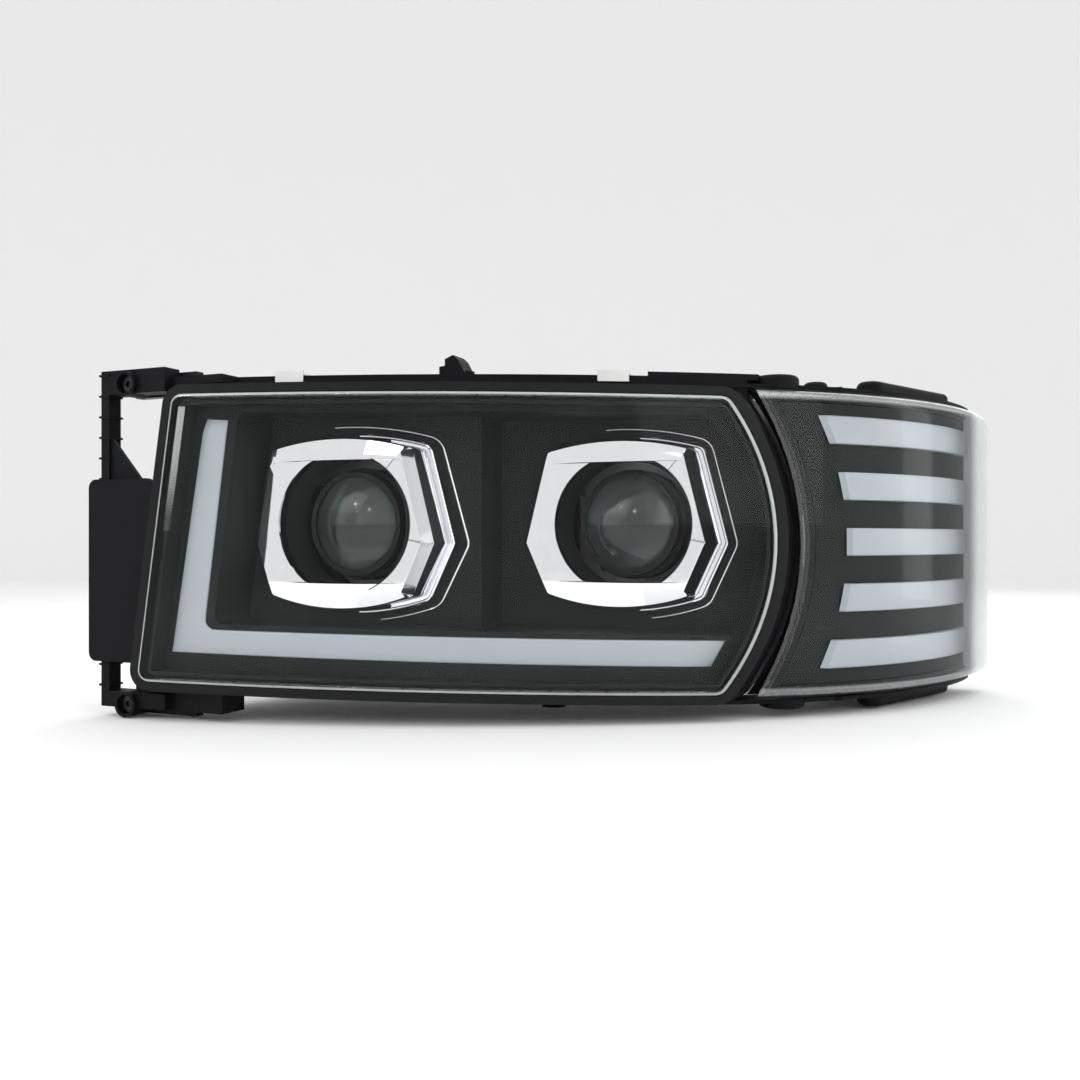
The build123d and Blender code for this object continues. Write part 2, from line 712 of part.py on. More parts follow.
single_nodes = [
    mounting_frame, locating_horn, frame_screws, main_housing, main_lens, main_lens_seal, inner_bezel,
    bezel_trims, lens_masks, drl_light_guide, drl_led_board, drl_leds, lens_clips, corner_housing,
    corner_lens, corner_bezel, corner_light_bars, corner_led_board, corner_leds,
    corner_side_reflector, corner_socket, pivot_fork, pivot_block, carrier_plate, carrier_screws,
    leveller_motor, yaw_adjuster_case, connector_socket, connector_pins, breather_vents,
    driver_module, module_screws,
]
for make in single_nodes:
    save(make.__name__, make())

save("corner_lens_seal", corner_tray(316, 314, 0, skin))
save("leveller_rod", sliding_rod(level_ball, 136, 9))
save("yaw_rod", sliding_rod(yaw_ball, 60, 8))

projector_nodes = [shroud, projector_lens, lens_retainer, projector_barrel, reflector, led_board,
                   heat_sink, fan_frame, fan_rotor, cut_off_shutter]
for place, (x, face) in projectors.items():
    for make in projector_nodes:
        save(f"{make.__name__}_{place}", make(x, face))
    save(f"rear_cap_{place}", rear_cap(x))
    save(f"rear_cap_seal_{place}", rear_cap_seal(x))
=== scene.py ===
import json
import math

import bmesh
import bpy
import numpy as np
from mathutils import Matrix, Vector

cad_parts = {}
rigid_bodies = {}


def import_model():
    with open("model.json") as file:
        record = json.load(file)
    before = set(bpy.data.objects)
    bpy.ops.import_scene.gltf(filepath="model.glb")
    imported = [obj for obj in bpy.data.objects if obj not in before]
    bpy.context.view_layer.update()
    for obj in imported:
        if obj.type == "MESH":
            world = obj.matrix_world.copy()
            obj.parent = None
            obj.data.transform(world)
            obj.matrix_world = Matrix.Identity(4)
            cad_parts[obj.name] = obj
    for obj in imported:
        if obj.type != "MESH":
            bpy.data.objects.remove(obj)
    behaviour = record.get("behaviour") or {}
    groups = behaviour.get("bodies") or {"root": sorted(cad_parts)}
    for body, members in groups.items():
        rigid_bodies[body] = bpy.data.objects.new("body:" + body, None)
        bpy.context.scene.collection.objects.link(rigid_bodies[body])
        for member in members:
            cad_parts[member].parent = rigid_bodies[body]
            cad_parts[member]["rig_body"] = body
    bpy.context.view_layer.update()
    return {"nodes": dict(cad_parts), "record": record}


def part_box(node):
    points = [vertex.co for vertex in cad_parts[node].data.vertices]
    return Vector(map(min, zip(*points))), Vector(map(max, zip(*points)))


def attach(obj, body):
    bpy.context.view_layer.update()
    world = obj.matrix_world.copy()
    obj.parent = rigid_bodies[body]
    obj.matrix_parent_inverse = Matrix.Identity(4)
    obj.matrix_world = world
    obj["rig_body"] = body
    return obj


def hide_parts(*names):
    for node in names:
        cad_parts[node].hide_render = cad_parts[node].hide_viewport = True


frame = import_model()
nodes = frame["nodes"]
mm = 0.001


# ---- meshes from numpy arrays

def joinParts(parts):
    # Several (points, faces) pairs become one, each part's face numbers moved on by the points before it.
    points, faces, start = [], [], 0
    for partPoints, partFaces in parts:
        points.append(partPoints)
        faces += [[corner + start for corner in face] for face in partFaces]
        start += len(partPoints)
    return np.concatenate(points), faces


def gridFaces(rows, columns, wrapRows=False, wrapColumns=False):
    # Quads of a rows x columns grid: point (i, j) joins (i, j+1), (i+1, j+1) and (i+1, j). A grid that wraps joins
    # its last row or column to its first.
    i = np.arange(rows if wrapRows else rows - 1)[:, None]
    j = np.arange(columns if wrapColumns else columns - 1)[None, :]
    nextI, nextJ = (i + 1) % rows, (j + 1) % columns
    quads = np.stack([i * columns + j, i * columns + nextJ, nextI * columns + nextJ, nextI * columns + j], -1)
    return quads.reshape(-1, 4).tolist()


def endCaps(rows, columns):
    # One face across the first ring of a tube's grid, and one across its last ring.
    return [list(range(columns)), list(range((rows - 1) * columns, rows * columns))]


def addObject(name, data):
    added = bpy.data.objects.new(name, data)
    bpy.context.scene.collection.objects.link(added)
    return added


def smoothBelow(mesh, sharp):
    # Faces shade smooth, except across edges sharper than the angle given in degrees.
    mesh.polygons.foreach_set("use_smooth", np.ones(len(mesh.polygons), bool))
    mesh.set_sharp_from_angle(angle=math.radians(sharp))


def makePiece(name, points, faces, body, material, replaced=(), sharp=34, frost=None):
    # Points are millimetres in the row frame. Doubles are merged and the closed shell's faces turned outwards.
    # frost is one share for each point, for a clear piece's milky places.
    mesh = bpy.data.meshes.new(name)
    mesh.from_pydata((np.asarray(points, float) * mm).tolist(), [], faces)
    if frost is not None:
        shares = mesh.attributes.new("frost", "FLOAT", "POINT").data
        shares.foreach_set("value", np.ravel(frost).astype(np.float32))
    shell = bmesh.new()
    shell.from_mesh(mesh)
    bmesh.ops.remove_doubles(shell, verts=shell.verts, dist=0.00001)
    bmesh.ops.dissolve_degenerate(shell, edges=shell.edges, dist=0.000005)
    bmesh.ops.recalc_face_normals(shell, faces=shell.faces)
    shell.to_mesh(mesh)
    shell.free()
    smoothBelow(mesh, sharp)
    mesh.materials.append(material)
    piece = addObject(name, mesh)
    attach(piece, body)
    if replaced:
        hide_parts(*replaced)


softening = {"sharp": 32, "bevelFrom": 38, "segments": 2, "flatWithin": 0.02}


def softenNode(name, node, material, bevel):
    # A merged copy of a CAD node with its flat faces joined, smooth rounds and a small bevel on its edges.
    source = nodes[node]
    mesh = source.data.copy()
    mesh.name = name
    shell = bmesh.new()
    shell.from_mesh(mesh)
    bmesh.ops.remove_doubles(shell, verts=shell.verts, dist=0.00002)
    flatWithin = math.radians(softening["flatWithin"])
    bmesh.ops.dissolve_limit(shell, angle_limit=flatWithin, verts=shell.verts, edges=shell.edges)
    shell.to_mesh(mesh)
    shell.free()
    if "custom_normal" in mesh.attributes:
        mesh.attributes.remove(mesh.attributes["custom_normal"])
    smoothBelow(mesh, softening["sharp"])
    mesh.materials.clear()
    mesh.materials.append(material)
    piece = addObject(name, mesh)
    rounded = piece.modifiers.new("edgeRound", "BEVEL")
    rounded.width = bevel * mm
    rounded.segments = softening["segments"]
    rounded.limit_method = "ANGLE"
    rounded.angle_limit = math.radians(softening["bevelFrom"])
    rounded.harden_normals = True
    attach(piece, source["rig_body"])
    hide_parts(node)


# ---- shader maths

class Wire:
    # One output socket. Arithmetic on it adds Math nodes.
    def __init__(self, board, socket):
        self.board, self.socket = board, socket

    def maths(self, operation, first, second=0.0):
        return self.board.add("ShaderNodeMath", {"operation": operation}, [first, second])

    def __add__(self, other):
        return self.maths("ADD", self, other)

    def __radd__(self, other):
        return self.maths("ADD", other, self)

    def __sub__(self, other):
        return self.maths("SUBTRACT", self, other)

    def __rsub__(self, other):
        return self.maths("SUBTRACT", other, self)

    def __mul__(self, other):
        return self.maths("MULTIPLY", self, other)

    def __rmul__(self, other):
        return self.maths("MULTIPLY", other, self)

    def __pow__(self, other):
        return self.maths("POWER", self, other)

    def smallest(self, other):
        return self.maths("MINIMUM", self, other)


class Board:
    # A material's node tree, with one Principled shader at its output.
    def __init__(self, name, **constants):
        self.material = bpy.data.materials.new(name)
        self.material.use_nodes = True
        self.tree = self.material.node_tree
        self.shader = next(n for n in self.tree.nodes if n.type == "BSDF_PRINCIPLED")
        for socket, value in constants.items():
            self.shader.inputs[socket.replace("_", " ")].default_value = value

    def add(self, kind, settings=None, values=(), output=0):
        node = self.tree.nodes.new(kind)
        for key, value in (settings or {}).items():
            setattr(node, key, value)
        pairs = values.items() if isinstance(values, dict) else enumerate(values)
        for key, value in pairs:
            if isinstance(value, Wire):
                self.tree.links.new(value.socket, node.inputs[key])
            else:
                node.inputs[key].default_value = value
        return Wire(self, node.outputs[output])

    def drive(self, socket, wire):
        self.tree.links.new(wire.socket, self.shader.inputs[socket])

    def place(self):
        return self.add("ShaderNodeTexCoord", output=3)

    def noise(self, scale, detail=4.0, roughness=0.5, at=None):
        return self.add("ShaderNodeTexNoise", {}, {"Vector": at or self.place(), "Scale": scale,
                                                   "Detail": detail, "Roughness": roughness})

    def blendColours(self, share, low, high):
        mixed = self.add("ShaderNodeMix", {"data_type": "RGBA"}, {0: share}, output=2)
        for index, colour in ((6, low), (7, high)):
            if isinstance(colour, Wire):
                self.tree.links.new(colour.socket, mixed.socket.node.inputs[index])
            else:
                mixed.socket.node.inputs[index].default_value = (*colour, 1)
        return mixed

    def relief(self, height, strength, depth):
        self.drive("Normal", self.add("ShaderNodeBump", {}, {"Strength": strength, "Distance": depth,
                                                             "Height": height}))


def mouldedPlastic(name, colour, rough, grain=1400, grainDepth=0.00006, dust=0.5, gloss=0.4):
    # Moulded plastic: fine spark-eroded grain, slow shade drift and a little settled dust in patches.
    board = Board(name, Specular_IOR_Level=gloss)
    grainy, patches, slow = board.noise(grain, 2), board.noise(55, 5, 0.65), board.noise(9, 3)
    pale = tuple(min(1, c * 1.8 + 0.006) for c in colour)
    board.drive("Base Color", board.blendColours((patches * slow) * dust, colour, pale))
    board.drive("Roughness", (patches * 0.16) + (grainy * 0.08) + (rough - 0.12))
    board.relief(grainy, 0.55, grainDepth)
    return board.material


def polishedChrome(name, colour=(0.93, 0.94, 0.96), rough=0.045):
    # Vacuum-metallised plastic: near mirror, with slight waviness of the moulding under it.
    board = Board(name, Metallic=1.0)
    waves, haze = board.noise(22, 2), board.noise(160, 4)
    board.drive("Base Color", board.blendColours(haze, colour, tuple(c * 0.93 for c in colour)))
    board.drive("Roughness", (haze * 0.05) + (rough - 0.02))
    board.relief(waves, 0.16, 0.0012)
    return board.material


def clearCover(name, hazeShare=0.006, edgeShare=0.6):
    # Clear moulded cover: light passes straight through, and a mirror share that grows towards the edge of sight.
    # Its frost attribute turns the mirror into milky plastic, as a thick moulded edge looks.
    board = Board(name)
    facing = board.add("ShaderNodeLayerWeight", {}, {"Blend": 0.5}, output=1)
    frost = board.add("ShaderNodeAttribute", {"attribute_name": "frost"}, output=2)
    haze, streak = board.noise(14, 4), board.noise(90, 3)
    clear = board.blendColours(haze, (0.93, 0.96, 0.98), (0.99, 1.0, 1.0))
    milky = board.blendColours(streak, (0.50, 0.54, 0.53), (0.58, 0.62, 0.61))
    board.drive("Base Color", board.blendColours(frost, clear, milky))
    board.drive("Metallic", 1 - frost)
    board.drive("Roughness", (frost * 0.3) + (haze * 0.02) + 0.02)
    mirror = ((facing ** 5.5) * edgeShare) + hazeShare + (haze * 0.004)
    board.drive("Alpha", (mirror + (frost * (streak * 0.16 + 0.84))).smallest(1.0))
    return board.material


def opalPlastic(name, colour=(0.40, 0.435, 0.475), paintedGlow=0.015):
    # Milky light guide: satin surface with a soft cloud in it and fine diffusing grain, and a faint painted glow
    # in its own colour that keeps the unlit guide bright deep inside the lamp.
    board = Board(name, Coat_Weight=0.35, Coat_Roughness=0.2)
    cloud, grainy = board.noise(30, 3), board.noise(2200, 1)
    mixed = board.blendColours(cloud, colour, tuple(c * 1.08 for c in colour))
    board.drive("Base Color", mixed)
    # Painted glow: the unlit guide gives out its own colour weakly, as if it were lit.
    board.drive("Emission Color", mixed)
    board.shader.inputs["Emission Strength"].default_value = paintedGlow
    board.drive("Roughness", (cloud * 0.12) + 0.30)
    board.relief(grainy, 0.2, 0.00001)
    return board.material


def brushedMetal(name, colour, rough, stretch=(1, 1, 40)):
    # Rolled or turned metal: noise stretched along one way makes fine lines.
    board = Board(name, Metallic=1.0)
    drawn = board.add("ShaderNodeMapping", {}, {"Vector": board.place(), "Scale": stretch})
    lines, stain = board.noise(60, 3, at=drawn), board.noise(40, 5)
    board.drive("Base Color", board.blendColours(stain, colour, tuple(c * 0.72 for c in colour)))
    board.drive("Roughness", (lines * 0.18) + (stain * 0.12) + (rough - 0.12))
    board.relief(lines, 0.25, 0.00008)
    return board.material


def castMetal(name, colour=(0.60, 0.61, 0.62), rough=0.48):
    # Die-cast metal: fine pits, and stains that change its colour and shine.
    board = Board(name, Metallic=0.92)
    pits, stain = board.noise(900, 4), board.noise(50, 5)
    board.drive("Base Color", board.blendColours(stain, colour, tuple(c * 0.7 for c in colour)))
    board.drive("Roughness", (stain * 0.2) + (rough - 0.1))
    board.relief(pits, 0.6, 0.00010)
    return board.material


def circuitBoard(name):
    # Solder mask with copper tracks under it: a brick pattern's thin mortar is the track.
    board = Board(name, Coat_Weight=0.4, Coat_Roughness=0.15)
    tracks = board.add("ShaderNodeTexBrick", {"offset": 0.5}, {"Vector": board.place(), "Scale": 170.0,
                                                               "Mortar Size": 0.035}, output=1)
    fibre = board.noise(600, 2)
    base = board.blendColours(fibre, (0.80, 0.81, 0.80), (0.70, 0.72, 0.71))
    board.drive("Base Color", board.blendColours(tracks, base, (0.55, 0.56, 0.52)))
    board.drive("Roughness", (fibre * 0.15) + 0.35)
    board.relief(tracks, 0.4, 0.00005)
    return board.material


def softRubber(name, colour, rough):
    # Soft rubber: matt, with bloom in patches.
    board = Board(name, Specular_IOR_Level=0.3)
    bloom, grainy = board.noise(70, 5), board.noise(1800, 2)
    board.drive("Base Color", board.blendColours(bloom, colour, tuple(c * 2 + 0.01 for c in colour)))
    board.drive("Roughness", (bloom * 0.2) + (rough - 0.1))
    board.relief(grainy, 0.5, 0.00006)
    return board.material


def ledChip(name):
    # White ceramic body with a yellow phosphor patch on it.
    board = Board(name)
    phosphor = board.noise(700, 2)
    board.drive("Base Color", board.blendColours(phosphor, (0.93, 0.80, 0.30), (0.95, 0.90, 0.62)))
    board.drive("Roughness", (phosphor * 0.2) + 0.35)
    return board.material


def opticGlass(name):
    # Solid glass of a projector lens, slightly green, with the faint rings that pressing leaves.
    board = Board(name, Transmission_Weight=1.0, IOR=1.49)
    rings = board.noise(260, 2)
    board.drive("Base Color", board.blendColours(rings, (0.42, 0.47, 0.46), (0.50, 0.55, 0.54)))
    board.drive("Roughness", (rings * 0.04) + 0.09)
    return board.material


finishes = {
    "frame_plastic": mouldedPlastic("framePlastic", (0.0045, 0.0048, 0.0058), 0.55, gloss=0.10),
    "housing_plastic": mouldedPlastic("housingPlastic", (0.005, 0.0053, 0.006), 0.4, 900, dust=0.3, gloss=0.2),
    "clear_lens": clearCover("clearLens"),
    "seal_rubber": softRubber("sealRubber", (0.012, 0.012, 0.012), 0.75),
    "bezel_black": mouldedPlastic("bezelBlack", (0.0100, 0.0122, 0.0118), 0.5, 500, 0.00001, 0.2, 0.14),
    "shroud_chrome": polishedChrome("shroudChrome"),
    # The light guide keeps the default faint painted glow, though it is unlit; the side reflector has none.
    "light_guide": opalPlastic("lightGuide"),
    "circuit_board": circuitBoard("circuitBoard"),
    "led_chip": ledChip("ledChip"),
    "projector_glass": opticGlass("projectorGlass"),
    "die_cast": castMetal("dieCast"),
    "mirror_coat": polishedChrome("mirrorCoat", (0.90, 0.91, 0.92), 0.05),
    "heat_sink_alu": brushedMetal("heatSinkAlu", (0.72, 0.73, 0.74), 0.38),
    "fan_plastic": mouldedPlastic("fanPlastic", (0.014, 0.014, 0.015), 0.45),
    "screw_steel": brushedMetal("screwSteel", (0.07, 0.07, 0.075), 0.34),
    "clip_steel": brushedMetal("clipSteel", (0.80, 0.80, 0.79), 0.34),
    "motor_plastic": mouldedPlastic("motorPlastic", (0.030, 0.031, 0.033), 0.45),
    "adjuster_plastic": mouldedPlastic("adjusterPlastic", (0.62, 0.60, 0.54), 0.42, dust=0.3),
    "pin_brass": brushedMetal("pinBrass", (0.80, 0.62, 0.32), 0.25),
    "side_reflector": opalPlastic("sideReflector", (0.42, 0.44, 0.44), 0.0),
}
slotOf = {entry["node"]: entry["material_slot"] for entry in frame["record"]["subparts"]}
for node, piece in nodes.items():
    piece.data.materials.clear()
    piece.data.materials.append(finishes[slotOf[node]])
print("materials made:", len(finishes))


# ---- outlines in front view, as rows of X and Z

def arcThrough(first, middle, last, count):
    # Points on the circle through three points: its centre is where two perpendicular bisectors meet.
    a, b, c = (np.array(p, float) for p in (first, middle, last))
    rows = 2 * np.array([b - a, c - b])
    centre = np.linalg.solve(rows, [b @ b - a @ a, c @ c - b @ b])
    start, end = (math.atan2(*(p - centre)[::-1]) for p in (a, c))
    turned = math.atan2(*(b - centre)[::-1])
    way = 1 if ((turned - start) % math.tau) < ((end - start) % math.tau) else -1
    sweep = ((end - start) * way) % math.tau
    angles = start + way * np.linspace(0, sweep, count)
    return centre + np.hypot(*(a - centre)) * np.stack([np.cos(angles), np.sin(angles)], 1)


def roundCorners(points, radii, steps=7):
    # Each corner with a radius becomes an arc that touches its two sides at radius * tan(half the turn).
    points, outline = np.asarray(points, float), []
    for index, radius in enumerate(radii):
        corner, before, after = points[index], points[index - 1], points[(index + 1) % len(points)]
        if radius <= 0:
            outline.append(corner[None])
            continue
        back, ahead = ((p - corner) / np.hypot(*(p - corner)) for p in (before, after))
        half = math.acos(np.clip(back @ ahead, -1, 1)) / 2
        reach = radius / math.tan(half)
        centre = corner + (back + ahead) / np.hypot(*(back + ahead)) * radius / math.sin(half)
        first, last = corner + back * reach, corner + ahead * reach
        a0, a1 = (math.atan2(*(p - centre)[::-1]) for p in (first, last))
        turn = (a1 - a0 + math.pi) % math.tau - math.pi
        angles = a0 + turn * np.linspace(0, 1, steps)
        outline.append(centre + radius * np.stack([np.cos(angles), np.sin(angles)], 1))
    return np.concatenate(outline)


def outwardNormals(outline):
    # Mitred normals of a closed outline: the sum of the two sides' normals over one plus their dot product.
    sides = np.roll(outline, -1, 0) - outline
    sides /= np.maximum(np.hypot(*sides.T), 1e-9)[:, None]
    normals = np.stack([sides[:, 1], -sides[:, 0]], 1)
    x, z = outline.T
    if (x * np.roll(z, -1) - z * np.roll(x, -1)).sum() < 0:
        normals = -normals
    before = np.roll(normals, 1, 0)
    return (normals + before) / (1 + (normals * before).sum(1))[:, None]


lamp = {
    "sweepX": -176, "sweepY": 1050, "sweepR": 1100,
    "topLeft": (47, 112.5), "topRight": (431, 110.5), "tip": (463.4, 0),
    "bottomRight": (427, -113), "bottomLeft": (18, -103.5), "cornerR": 9, "arcSteps": 26,
    "axisZ": 15.5, "projectors": {"inner": (155.9, 37.6), "outer": (346.6, 137.0)},
}


def frontY(x):
    # The main lens's front lies on one long arc in plan.
    return lamp["sweepY"] - np.sqrt(lamp["sweepR"] ** 2 - (x - lamp["sweepX"]) ** 2)


def lensOutline():
    # Straight top, bottom and left sides, and an arc on the right.
    arc = arcThrough(lamp["topRight"], lamp["tip"], lamp["bottomRight"], lamp["arcSteps"])
    corners = np.concatenate([[lamp["topLeft"]], arc, [lamp["bottomLeft"]]])
    radii = [lamp["cornerR"]] * 2 + [0] * (len(arc) - 2) + [lamp["cornerR"]] * 2
    return roundCorners(corners, radii)


def refine(outline, longest):
    # Long sides get points in between, so that a curved surface through them stays smooth.
    rows = []
    for here, there in zip(outline, np.roll(outline, -1, 0)):
        count = max(1, int(np.ceil(np.hypot(*(there - here)) / longest)))
        rows.append(here + (there - here) * (np.arange(count) / count)[:, None])
    return np.concatenate(rows)


def sweptRings(outline, rings, centre):
    # Each ring is (share, inset, depth): the inset outline drawn to the centre by share, on the arc plus depth.
    normals, rows = outwardNormals(outline), []
    for share, inset, depth in rings:
        flat = centre + (outline - normals * inset - centre) * share
        rows.append(np.stack([flat[:, 0], frontY(flat[:, 0]) + depth, flat[:, 1]], 1))
    return np.concatenate(rows), gridFaces(len(rings), len(outline), wrapColumns=True)


lens = {
    "skin": 3, "skirt": 15, "skirtMid": 8, "rimR": 0.5, "edgeR": 2.6, "innerR": 2, "rings": 12, "centre": (240, 2),
    "edgeFrost": 0.75, "edgeRings": 3, "skirtFrost": 0.16, "longest": 9, "sharp": 60,
}


def mainLens():
    # A closed shell: the front from its centre out, a rounded edge, the skirt, its rim and the inner face back.
    quarter = np.linspace(0, math.pi / 2, 6)
    r, skin, skirtEnd, mid = lens["edgeR"], lens["skin"], lens["skirt"], lens["skirtMid"]
    rimR, innerR = lens["rimR"], lens["innerR"]
    front = [(share, r, 0) for share in np.linspace(0, 1, lens["rings"])[:-1]]
    edge = [(1, r * (1 - math.sin(a)), r * (1 - math.cos(a))) for a in quarter]
    skirt = [(1, 0, mid), (1, 0, skirtEnd - rimR), (1, rimR, skirtEnd),
             (1, skin - rimR, skirtEnd), (1, skin, skirtEnd - rimR), (1, skin, mid)]
    inner = [(1, skin + innerR * (1 - math.cos(a)), skin + innerR * (1 - math.sin(a))) for a in quarter]
    back = [(share, skin + innerR, skin) for share in np.linspace(1, 0, lens["rings"])[1:]]
    outline = refine(lensOutline(), lens["longest"])
    rings = front + edge + skirt + inner + back
    frost = np.zeros(len(rings))
    edgeStart, skirtEnds = len(front) + 1, len(front) + len(edge) + len(skirt)
    frost[edgeStart:edgeStart + lens["edgeRings"]] = lens["edgeFrost"]
    frost[edgeStart + lens["edgeRings"]:skirtEnds] = lens["skirtFrost"]
    points, faces = sweptRings(outline, rings, np.array(lens["centre"]))
    makePiece("mainLensShell", points, faces, "lamp", finishes["clear_lens"], ["main_lens"],
              lens["sharp"], np.repeat(frost, len(outline)))


flutes = {
    "pitch": 2.1, "height": 0.9, "width": 5.5, "inset": 5.6, "zLow": 10, "zHigh": 103, "perPitch": 6,
    "flank": 0.12, "foot": 3.0, "base": 3.05, "frost": 0.42, "fadeOver": 60, "leastFade": 0.15,
}


def lensFlutes():
    # A ladder of small prisms on the lens's inner face: depth follows a raised cosine of height along the edge.
    f = flutes
    z = np.arange(f["zLow"], f["zHigh"], f["pitch"] / f["perPitch"])
    (lowX, lowZ), (highX, highZ) = lamp["bottomLeft"], lamp["topLeft"]
    left = lowX + (z - lowZ) * (highX - lowX) / (highZ - lowZ) + f["inset"]
    across = np.array([0, f["flank"], 1 - f["flank"], 1.0])
    wave = 0.5 - 0.5 * np.cos(math.tau * z / f["pitch"])
    x = left[:, None] + f["width"] * across
    depth = f["base"] + f["height"] * wave[:, None] * np.array([0, 1, 1, 0])
    rowZ = np.repeat(z[:, None], 4, 1)
    crest = np.stack([x, frontY(x) + depth, rowZ], -1)
    foot = np.stack([x, frontY(x) + f["foot"], rowZ], -1)[:, ::-1]
    loop = np.concatenate([crest, foot], 1)
    faces = gridFaces(len(z), 8, wrapColumns=True) + endCaps(len(z), 8)
    frost = f["frost"] * np.clip((z - f["zLow"]) / f["fadeOver"], f["leastFade"], 1) ** 1.5
    makePiece("lensFlutes", loop.reshape(-1, 3), faces, "lamp", finishes["clear_lens"],
              frost=np.repeat(frost, 8))


shroud = {
    "left": {"inner": -75, "outer": -80}, "right": 70, "pointZ": -15, "cornerLeft": -62, "cornerRight": 52,
    "cornerTop": 58, "cornerBottom": -56, "crown": 66, "cornerR": 4,
    "pointR": 2.2, "cornerSteps": 5, "crownSteps": 22, "longest": 5, "openingR": 55,
    "creaseTop": 48, "creaseBottom": -45, "creaseStep": 1.1, "creaseHalf": 62, "bandTilt": 0.07, "skin": 2.4,
    "edgeR": 1.3, "stripWide": 4.2, "stripDeep": 8.5, "stripFrom": 0.55, "stripOver": 0.35,
    "rimFrom": (-95, 6), "rimTo": (90, 47), "flare": 4.6, "beadR": 1.5, "beadFrom": -1.2, "groove": 2.6,
    "lean": {"inner": 0.10, "outer": 0.075}, "offFloor": 0.4, "sharp": 22,
}
tiny = 1e-6


def shroudOutline(place):
    # About the projector's axis: slanted sides that meet in a point left and right, and crowned ends.
    s = shroud
    left = s["left"][place]
    middle = (left + s["right"]) / 2
    top = arcThrough((s["cornerLeft"], s["cornerTop"]), (middle, s["crown"]), (s["cornerRight"], s["cornerTop"]),
                     s["crownSteps"])
    bottom = arcThrough((s["cornerRight"], s["cornerBottom"]), (middle, -s["crown"]),
                        (s["cornerLeft"], s["cornerBottom"]), s["crownSteps"])
    corners = np.concatenate([top, [(s["right"], s["pointZ"])], bottom, [(left, s["pointZ"])]])
    soft = [s["cornerR"]] + [0] * (len(top) - 2) + [s["cornerR"]]
    radii = soft + [s["pointR"]] + soft + [s["pointR"]]
    return refine(roundCorners(corners, radii, s["cornerSteps"]), s["longest"])


def openingPoint(outline):
    # The point of the opening, a circle cut flat above and below, that lies in the same direction from its middle.
    s = shroud
    direction = outline / np.hypot(*outline.T)[:, None]
    reach = np.full(len(outline), float(s["openingR"]))
    for crease in (s["creaseTop"], s["creaseBottom"]):
        towards = direction[:, 1] * crease > tiny
        reach[towards] = np.minimum(reach[towards], (crease / direction[:, 1])[towards])
    return direction * reach[:, None]


def creasePoint(outline, opening):
    # Where the line from the opening to the edge passes a crease, or just inside the edge where it passes none.
    s, inside = shroud, outline - (outline - opening) * 0.02
    for crease in (s["creaseTop"], s["creaseBottom"]):
        beyond = outline[:, 1] * np.sign(crease) > abs(crease)
        gap = outline[:, 1] - opening[:, 1]
        share = np.where(abs(gap) > tiny, (crease - opening[:, 1]) / np.where(abs(gap) > tiny, gap, 1), 0)
        share = np.clip(share, 0.0, 1.0)[:, None]
        inside = np.where(beyond[:, None], opening + (outline - opening) * share, inside)
    return inside


